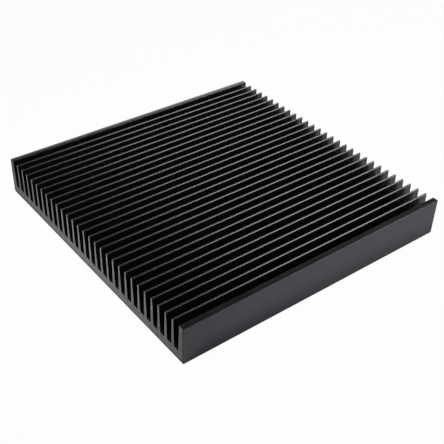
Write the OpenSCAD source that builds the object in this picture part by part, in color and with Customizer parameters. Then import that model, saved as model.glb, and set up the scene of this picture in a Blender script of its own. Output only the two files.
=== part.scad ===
// Extruded heat sink: a flat base plate that carries two thick end walls and a row of thin tapered fins.
// It is one aluminium extrusion, sawn to length, so the whole part is one section pushed along X.
// Origin: centre of the underside. X runs along the fins, Y across them, Z up to the fin tips.

/* [Overall] */
// Length along the fins, from one sawn end to the other
length = 300; // [50:5:600]
// Thickness of the base plate
base_t = 9.6; // [3:0.1:20]

/* [Fins] */
// Number of thin fins between the two end walls
fin_count = 28; // [1:1:60]
// Distance from one fin to the next, centre to centre
fin_pitch = 10; // [7:0.5:20]
// Height of the fins and the end walls above the base plate
fin_h = 29; // [10:0.5:60]
// Thickness of a fin at its tip
fin_tip_t = 1.7; // [1:0.1:3.5]
// Thickness of a fin where it meets the base plate
fin_root_t = 4; // [1.5:0.1:5]

/* [End walls] */
// Thickness of an end wall where it meets the base plate
wall_t = 7; // [4:0.1:15]

/* [Edges] */
// Radius along the foot of each fin, in the corners of a channel
root_r = 1; // [0.2:0.1:1.5]
// Radius along the edges of each fin tip
tip_r = 0.75; // [0.1:0.05:1]
// Radius along the edges of the end walls and the base plate
edge_r = 0.1; // [0.1:0.05:1.2]
// Flats that stand for a quarter turn of a rounded edge
arc_steps = 6; // [3:1:12]

/* [Hidden] */

height = base_t + fin_h;

// An air channel lies on each side of a fin: channel 0 by the +Y wall, last_channel by the -Y wall.
last_channel = fin_count;
channel_floor_w = fin_pitch - fin_root_t;
channel_mouth_w = fin_pitch - fin_tip_t;
width = 2 * wall_t + last_channel * fin_pitch + channel_floor_w;

// An end wall is square outside and has a fin's slope inside.
wall_top_t = wall_t - (channel_mouth_w - channel_floor_w) / 2;

// A radius takes at most this share of the flat that it rounds, so that its neighbour has room too.
radius_share = 0.45;
channel_r = min(root_r, channel_floor_w * radius_share);
fin_tip_r = min(tip_r, fin_tip_t * radius_share);
wall_edge_r = min(edge_r, base_t * radius_share, wall_top_t * radius_share);

function unit(v) = v / norm(v);

function turned(v, angle) = [
    v.x * cos(angle) - v.y * sin(angle),
    v.x * sin(angle) + v.y * cos(angle)
];

// The arc that rounds corner b, between its neighbours a and c, to radius r
function corner_arc(a, b, c, r) =
    let (
        back = unit(a - b),
        ahead = unit(c - b),
        half = acos(back * ahead) / 2,
        centre = b + unit(back + ahead) * r / sin(half),
        start = b + back * r / tan(half) - centre,
        sweep = sign(cross(-back, ahead)) * (180 - 2 * half)
    )
    [for (i = [0:arc_steps]) centre + turned(start, sweep * i / arc_steps)];

// An outline from its sharp corners, each given as [[y, z], radius]
function rounded(corners) =
    let (n = len(corners))
    [
        for (i = [0:n - 1])
            each corner_arc(
                corners[(i + n - 1) % n][0],
                corners[i][0],
                corners[(i + 1) % n][0],
                corners[i][1]
            )
    ];

// Middle of air channel i
function channel_y(i) = (last_channel / 2 - i) * fin_pitch;

// Corners of one channel: down the flank on its +Y side, across the floor and up the other flank.
// The flanks end in the radii first_r and last_r at the mouth.
function channel_corners(y, first_r, last_r) = [
    [[y + channel_mouth_w / 2, height], first_r],
    [[y + channel_floor_w / 2, base_t], channel_r],
    [[y - channel_floor_w / 2, base_t], channel_r],
    [[y - channel_mouth_w / 2, height], last_r]
];

// The section, anticlockwise from the foot of the -Y wall
section_corners = [
    [[-width / 2, 0], wall_edge_r],
    [[width / 2, 0], wall_edge_r],
    [[width / 2, height], wall_edge_r],
    for (i = [0:last_channel])
        each channel_corners(
            channel_y(i),
            i == 0 ? wall_edge_r : fin_tip_r,
            i == last_channel ? wall_edge_r : fin_tip_r
        ),
    [[-width / 2, height], wall_edge_r]
];

module extruded_along_x(l) {
    rotate([90, 0, 90])
        linear_extrude(l, center = true)
            children();
}

module heat_sink() {
    color("#2a2a2c")
        extruded_along_x(length)
            polygon(rounded(section_corners));
}

heat_sink();
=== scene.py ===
import math

import bpy
from mathutils import Matrix, Vector


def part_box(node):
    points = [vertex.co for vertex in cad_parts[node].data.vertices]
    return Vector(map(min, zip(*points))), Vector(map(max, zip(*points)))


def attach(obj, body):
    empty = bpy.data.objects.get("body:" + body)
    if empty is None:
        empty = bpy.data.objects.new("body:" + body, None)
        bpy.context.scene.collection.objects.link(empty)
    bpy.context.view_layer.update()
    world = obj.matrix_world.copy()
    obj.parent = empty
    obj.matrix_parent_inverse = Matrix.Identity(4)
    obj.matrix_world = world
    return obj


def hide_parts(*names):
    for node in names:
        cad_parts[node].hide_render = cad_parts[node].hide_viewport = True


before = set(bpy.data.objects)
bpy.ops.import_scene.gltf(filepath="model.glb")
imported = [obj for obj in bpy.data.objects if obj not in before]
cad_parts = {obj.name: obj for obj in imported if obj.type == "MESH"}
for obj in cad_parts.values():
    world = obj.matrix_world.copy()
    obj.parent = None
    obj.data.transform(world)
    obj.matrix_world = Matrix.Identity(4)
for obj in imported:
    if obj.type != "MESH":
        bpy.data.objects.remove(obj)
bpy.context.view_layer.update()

print("frame loaded:", sorted(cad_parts))

low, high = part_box("heat_sink")
mm = 0.001


def linear(hexColour):
    # sRGB hex to the linear values that the shaders expect
    channels = [int(hexColour[i:i + 2], 16) / 255 for i in (1, 3, 5)]
    return [c / 12.92 if c <= 0.04045 else ((c + 0.055) / 1.055) ** 2.4 for c in channels] + [1.0]


def addNode(tree, kind, settings=None, links=None):
    # an input goes by its name, or by its number where names repeat or the input has none of its own,
    # and any other setting is one of the node's attributes
    node = tree.nodes.new(kind)
    for key, value in (settings or {}).items():
        if isinstance(key, int) or key in node.inputs:
            node.inputs[key].default_value = value
        else:
            setattr(node, key, value)
    for key, socket in (links or {}).items():
        tree.links.new(socket, node.inputs[key])
    return node


def newTree(owner):
    owner.use_nodes = True
    owner.node_tree.nodes.clear()
    return owner.node_tree


def selectOnly(piece):
    bpy.ops.object.select_all(action="DESELECT")
    piece.select_set(True)
    bpy.context.view_layer.objects.active = piece


def direction(azimuth, elevation):
    # azimuth is measured from +X towards +Y, both in degrees
    a, e = math.radians(azimuth), math.radians(elevation)
    return Vector((math.cos(a) * math.cos(e), math.sin(a) * math.cos(e), math.sin(e)))


def aimAt(thing, place, target, roll=0.0):
    look = (Vector(target) - Vector(place)).to_track_quat("-Z", "Y").to_matrix().to_4x4()
    thing.matrix_world = Matrix.Translation(place) @ look @ Matrix.Rotation(math.radians(roll), 4, "Z")


# aluminium as it leaves the die, etched satin and anodised black: a clear hard oxide skin over black
# dye, so the faces are nearly black and what shows is a soft, slightly cool reflection
extruded = {
    "colour": "#050506",
    "skinTint": "#fafafe",
    "ior": 1.7,                 # sealed aluminium oxide
    "roughness": 0.25,
    "roughnessSpread": 0.05,    # cloudiness left by the etch
    "cloudMm": 30.0,
    "cloudLow": 0.3,            # the cloud noise mostly stays between these two
    "cloudHigh": 0.7,
    "dieLineMm": 1.4,           # real lines are 0.1 to 0.5 mm apart, drawn coarser so that they show
    "dieLineDepthMm": 0.0015,
    "dieLineStretch": 0.004,    # the lines run the whole length of the bar
}


def extrudedBlackAnodised():
    material = bpy.data.materials.new("extruded black anodised aluminium")
    tree = newTree(material)
    place = addNode(tree, "ShaderNodeTexCoord")
    along = addNode(tree, "ShaderNodeMapping", {"Scale": (extruded["dieLineStretch"], 1, 1)},
                    {"Vector": place.outputs["Object"]})
    lines = addNode(tree, "ShaderNodeTexNoise",
                    {"Scale": 1 / (extruded["dieLineMm"] * mm), "Detail": 3, "Roughness": 0.6},
                    {"Vector": along.outputs["Vector"]})
    bump = addNode(tree, "ShaderNodeBump", {"Distance": extruded["dieLineDepthMm"] * mm},
                   {"Height": lines.outputs["Fac"]})
    clouds = addNode(tree, "ShaderNodeTexNoise", {"Scale": 1 / (extruded["cloudMm"] * mm), "Detail": 2},
                     {"Vector": place.outputs["Object"]})
    satin = addNode(tree, "ShaderNodeMapRange",
                    {"From Min": extruded["cloudLow"], "From Max": extruded["cloudHigh"],
                     "To Min": extruded["roughness"] - extruded["roughnessSpread"] / 2,
                     "To Max": extruded["roughness"] + extruded["roughnessSpread"] / 2},
                    {"Value": clouds.outputs["Fac"]})
    skin = addNode(tree, "ShaderNodeBsdfPrincipled",
                   {"Base Color": linear(extruded["colour"]), "IOR": extruded["ior"],
                    "Specular Tint": linear(extruded["skinTint"])},
                   {"Roughness": satin.outputs["Result"], "Normal": bump.outputs["Normal"]})
    addNode(tree, "ShaderNodeOutputMaterial", links={"Surface": skin.outputs["BSDF"]})
    return material


# the same bar where the saw cut it: the teeth leave shallow arcs, and the torn metal takes the dye
# unevenly in patches, so the ends look greyer and duller than the drawn faces; on top of the dye,
# painted light makes the fins' ends lighter towards their tips, and painted shade darkens the foot and
# the outer corners
sawn = {
    "paleColour": "#6e6e6e",
    "darkColour": "#2c2c2c",
    "patchMm": 5.0,             # pale and dark patches of dye
    "ior": 1.35,                # below that of the oxide, because a torn face has little gloss
    "roughness": 0.5,
    "toothMarkMm": 1.6,         # drawn about three times as coarse as a fine blade leaves them
    "toothMarkDepthMm": 0.02,
    "bladeRadiusMm": 250.0,
    "bladeSideMm": 90.0,        # the blade's centre passes this far to one side of the bar
    "paintedTipLight": 1.6,            # painted light: how much lighter a fin's end is painted at the tip than at the base
    "paintedLightFromMm": 8.0,           # height at which the painted light on the fins' ends begins
    "wallMm": 6.5,              # the end walls get no painted light and stay as dark as the base
    # painted shade: how dark the rim along the foot and the outer corners of the sawn face is painted
    "paintedRimShade": 0.12,
    "paintedRimMm": 1.9,               # the painted shade along the foot and the outer corners is gone this far inside the outline
}


def sawnBlackAnodised():
    material = bpy.data.materials.new("sawn black anodised aluminium")
    tree = newTree(material)
    place = addNode(tree, "ShaderNodeTexCoord")
    centred = addNode(tree, "ShaderNodeMapping",
                      {"Location": (0, sawn["bladeSideMm"] * mm, sawn["bladeRadiusMm"] * mm)},
                      {"Vector": place.outputs["Object"]})
    # a wave of scale 1 has 20 rings in 2 pi metres
    ringsPerMetre = 20 / math.tau
    marks = addNode(tree, "ShaderNodeTexWave",
                    {"wave_type": "RINGS", "rings_direction": "X",
                     "Scale": 1 / (ringsPerMetre * sawn["toothMarkMm"] * mm),
                     "Distortion": 3, "Detail": 2, "Detail Scale": 0.3},
                    {"Vector": centred.outputs["Vector"]})
    bump = addNode(tree, "ShaderNodeBump", {"Distance": sawn["toothMarkDepthMm"] * mm},
                   {"Height": marks.outputs["Fac"]})
    patches = addNode(tree, "ShaderNodeTexNoise", {"Scale": 1 / (sawn["patchMm"] * mm), "Detail": 3},
                      {"Vector": place.outputs["Object"]})
    # colours are inputs 6 and 7 of a Mix node, and its output 2
    dye = addNode(tree, "ShaderNodeMix",
                  {"data_type": "RGBA", 6: linear(sawn["darkColour"]), 7: linear(sawn["paleColour"])},
                  {0: patches.outputs["Fac"]})
    spot = addNode(tree, "ShaderNodeSeparateXYZ", links={"Vector": place.outputs["Object"]})
    fromMiddle = addNode(tree, "ShaderNodeMath", {"operation": "ABSOLUTE"}, {0: spot.outputs["Y"]})
    fromSide = addNode(tree, "ShaderNodeMath", {"operation": "SUBTRACT", 0: high.y},
                       {1: fromMiddle.outputs["Value"]})
    fromOutline = addNode(tree, "ShaderNodeMath", {"operation": "MINIMUM"},
                          {0: fromSide.outputs["Value"], 1: spot.outputs["Z"]})
    # painted shade: a dark rim along the foot and the outer sides of the sawn face, fading out inwards
    paintedRim = addNode(tree, "ShaderNodeMapRange",
                  {"From Min": sawn["paintedRimMm"] / 2 * mm, "From Max": sawn["paintedRimMm"] * mm,
                   "To Min": sawn["paintedRimShade"], "To Max": 1},
                  {"Value": fromOutline.outputs["Value"]})
    # painted light: the fins' ends are painted lighter towards their tips, and the end walls are left
    # out
    onFins = addNode(tree, "ShaderNodeMath", {"operation": "GREATER_THAN", 1: sawn["wallMm"] * mm},
                     {0: fromSide.outputs["Value"]})
    paintedTipLevel = addNode(tree, "ShaderNodeMath",
                      {"operation": "MULTIPLY_ADD", 1: sawn["paintedTipLight"] - 1, 2: 1},
                      {0: onFins.outputs["Value"]})
    paintedFinLight = addNode(tree, "ShaderNodeMapRange",
                      {"From Min": sawn["paintedLightFromMm"] * mm, "From Max": high.z, "To Min": 1},
                      {"Value": spot.outputs["Z"], "To Max": paintedTipLevel.outputs["Value"]})
    # the dye colour times the painted shade of the rim and the painted light on the fins
    paintedLightAndShade = addNode(tree, "ShaderNodeMath", {"operation": "MULTIPLY"},
                   {0: paintedRim.outputs["Result"], 1: paintedFinLight.outputs["Result"]})
    dyeUnderPaintedLight = addNode(tree, "ShaderNodeVectorMath", {"operation": "SCALE"},
                    {0: dye.outputs[2], "Scale": paintedLightAndShade.outputs["Value"]})
    face = addNode(tree, "ShaderNodeBsdfPrincipled",
                   {"Roughness": sawn["roughness"], "IOR": sawn["ior"]},
                   {"Base Color": dyeUnderPaintedLight.outputs["Vector"], "Normal": bump.outputs["Normal"]})
    addNode(tree, "ShaderNodeOutputMaterial", links={"Surface": face.outputs["BSDF"]})
    return material


extrusion = {
    "mergeMm": 0.001,
    "flatAngle": 0.2,           # triangles that meet below this angle become one flat face
    "onCutMm": 0.01,            # an edge this close to the end plane is a sawn edge
    "sawEdgeBreakMm": 0.08,     # what a light deburr takes off the sawn edges
    "sawEdgeSteps": 2,
    "smoothAngle": 25,
    "facingCut": 0.9,           # a face is sawn if its normal runs this much along the bar
}


def buildExtrusion():
    # the section is the CAD one, copied and merged, and only the sawn edges are worked on
    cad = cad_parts["heat_sink"]
    piece = bpy.data.objects.new("finned_extrusion", cad.data.copy())
    bpy.context.scene.collection.objects.link(piece)
    selectOnly(piece)
    bpy.ops.object.mode_set(mode="EDIT")
    bpy.ops.mesh.select_mode(type="VERT")
    bpy.ops.mesh.select_all(action="SELECT")
    bpy.ops.mesh.remove_doubles(threshold=extrusion["mergeMm"] * mm)
    bpy.ops.mesh.dissolve_limited(angle_limit=math.radians(extrusion["flatAngle"]))
    bpy.ops.mesh.select_mode(type="EDGE")
    bpy.ops.mesh.select_all(action="DESELECT")
    bpy.ops.object.mode_set(mode="OBJECT")
    mesh = piece.data
    for edge in mesh.edges:
        ends = [mesh.vertices[v].co.x for v in edge.vertices]
        edge.select = any(all(abs(x - cut) < extrusion["onCutMm"] * mm for x in ends)
                          for cut in (low.x, high.x))
    bpy.ops.object.mode_set(mode="EDIT")
    bpy.ops.mesh.bevel(offset=extrusion["sawEdgeBreakMm"] * mm, segments=extrusion["sawEdgeSteps"],
                       profile=0.5, affect="EDGES", clamp_overlap=True)
    bpy.ops.object.mode_set(mode="OBJECT")
    bpy.ops.object.shade_smooth_by_angle(angle=math.radians(extrusion["smoothAngle"]))
    mesh.materials.clear()
    mesh.materials.append(extrudedBlackAnodised())
    mesh.materials.append(sawnBlackAnodised())
    for face in mesh.polygons:
        face.material_index = 1 if abs(face.normal.x) > extrusion["facingCut"] else 0
    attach(piece, "root")
    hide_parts("heat_sink")
    print("extrusion built:", len(mesh.vertices), "points,", len(mesh.polygons), "faces")


studio = {
    "floorColour": "#a8a9ae",
    "floorHalf": 12.0,
    "floorGapMm": 0.2,          # the board lies this far below the underside, so the two never coincide
    "floorShadow": 0.03,        # share of the lit floor that the camera sees, the rest is plain white
    "roomColour": "#ffffff",
    "roomStrength": 0.02,
}


def layFloor():
    bpy.ops.object.select_all(action="DESELECT")
    bpy.ops.mesh.primitive_plane_add(size=2 * studio["floorHalf"],
                                     location=(0, 0, low.z - studio["floorGapMm"] * mm))
    floor = bpy.context.object
    floor.name = "floor"
    material = bpy.data.materials.new("matt white board")
    tree = newTree(material)
    board = addNode(tree, "ShaderNodeBsdfDiffuse", {"Color": linear(studio["floorColour"])})
    white = addNode(tree, "ShaderNodeEmission", {"Color": linear("#ffffff"), "Strength": 1.0})
    path = addNode(tree, "ShaderNodeLightPath")
    share = addNode(tree, "ShaderNodeMath", {"operation": "MULTIPLY", 1: 1 - studio["floorShadow"]},
                    {0: path.outputs["Is Camera Ray"]})
    lit = addNode(tree, "ShaderNodeMixShader",
                  links={0: share.outputs["Value"], 1: board.outputs["BSDF"],
                         2: white.outputs["Emission"]})
    # clear from below, so that the underside can be looked at
    side = addNode(tree, "ShaderNodeNewGeometry")
    clear = addNode(tree, "ShaderNodeBsdfTransparent")
    oneSided = addNode(tree, "ShaderNodeMixShader",
                       links={0: side.outputs["Backfacing"], 1: lit.outputs["Shader"],
                              2: clear.outputs["BSDF"]})
    addNode(tree, "ShaderNodeOutputMaterial", links={"Surface": oneSided.outputs["Shader"]})
    floor.data.materials.append(material)
    print("floor laid")


def lightRoom():
    world = bpy.data.worlds.new("studio")
    bpy.context.scene.world = world
    tree = newTree(world)
    room = addNode(tree, "ShaderNodeBackground",
                   {"Color": linear(studio["roomColour"]), "Strength": studio["roomStrength"]})
    white = addNode(tree, "ShaderNodeBackground", {"Color": linear("#ffffff"), "Strength": 1.0})
    path = addNode(tree, "ShaderNodeLightPath")
    mix = addNode(tree, "ShaderNodeMixShader",
                  links={0: path.outputs["Is Camera Ray"], 1: room.outputs["Background"],
                         2: white.outputs["Background"]})
    addNode(tree, "ShaderNodeOutputWorld", links={"Surface": mix.outputs["Shader"]})
    print("room lit")


# distance is from the middle of the part in metres, and a radiance of 1 is as bright as the white
# background, before a spread below 180 degrees narrows the same light into a beam
softboxes = {
    "long strip on the right": {
        "azimuth": -48.4, "elevation": 27.6, "distance": 1.0,
        "width": 0.95, "height": 0.48, "turn": 68, "spread": 180, "radiance": 5.8},
    "upper strip on the right": {
        "azimuth": -23, "elevation": 50.3, "distance": 1.0,
        "width": 0.95, "height": 0.48, "turn": 29, "spread": 180, "radiance": 3.4},
    "pool in front": {
        "azimuth": -95, "elevation": 45, "distance": 0.9,
        "width": 0.15, "height": 0.15, "turn": 0, "spread": 30, "radiance": 0.5},
    "overhead behind": {
        "azimuth": 140, "elevation": 60, "distance": 1.2,
        "width": 0.9, "height": 0.6, "turn": 0, "spread": 180, "radiance": 2.9},
    "glow behind": {
        "azimuth": 56, "elevation": 19, "distance": 1.6,
        "width": 1.2, "height": 0.5, "turn": 0, "spread": 180, "radiance": 2.0},
    "fill from the left": {
        "azimuth": 177, "elevation": 50, "distance": 0.55,
        "width": 0.3, "height": 0.3, "turn": 0, "spread": 60, "radiance": 2.6},
}


def addLights():
    for name, box in softboxes.items():
        place = direction(box["azimuth"], box["elevation"]) * box["distance"]
        bpy.ops.object.light_add(type="AREA", location=place)
        lamp = bpy.context.object
        lamp.name = name
        lamp.data.shape = "RECTANGLE"
        lamp.data.size = box["width"]
        lamp.data.size_y = box["height"]
        lamp.data.energy = box["radiance"] * math.pi * box["width"] * box["height"]
        lamp.data.spread = math.radians(box["spread"])
        aimAt(lamp, place, (0, 0, 0), box["turn"])
    print("lights set:", len(softboxes), "softboxes")


view = {
    "azimuth": -128.784,
    "elevation": 37.012,
    "distance": 0.77804,
    "aim": (-0.02498, -0.03765, 0.0200),
    "roll": 2.010,
    "lensMm": 66.16,
    "sensorMm": 36,
    "nearest": 0.01,
    "farthest": 100,
}


def addCamera():
    aim = Vector(view["aim"])
    place = aim + direction(view["azimuth"], view["elevation"]) * view["distance"]
    bpy.ops.object.camera_add()
    camera = bpy.context.object
    camera.name = "camera"
    camera.data.lens = view["lensMm"]
    camera.data.sensor_width = view["sensorMm"]
    camera.data.clip_start = view["nearest"]
    camera.data.clip_end = view["farthest"]
    aimAt(camera, place, aim, view["roll"])
    bpy.context.scene.camera = camera
    print("camera placed")


addCamera()
lightRoom()
addLights()
layFloor()
buildExtrusion()
bpy.context.scene.view_settings.view_transform = "Standard"
print("scene ready")
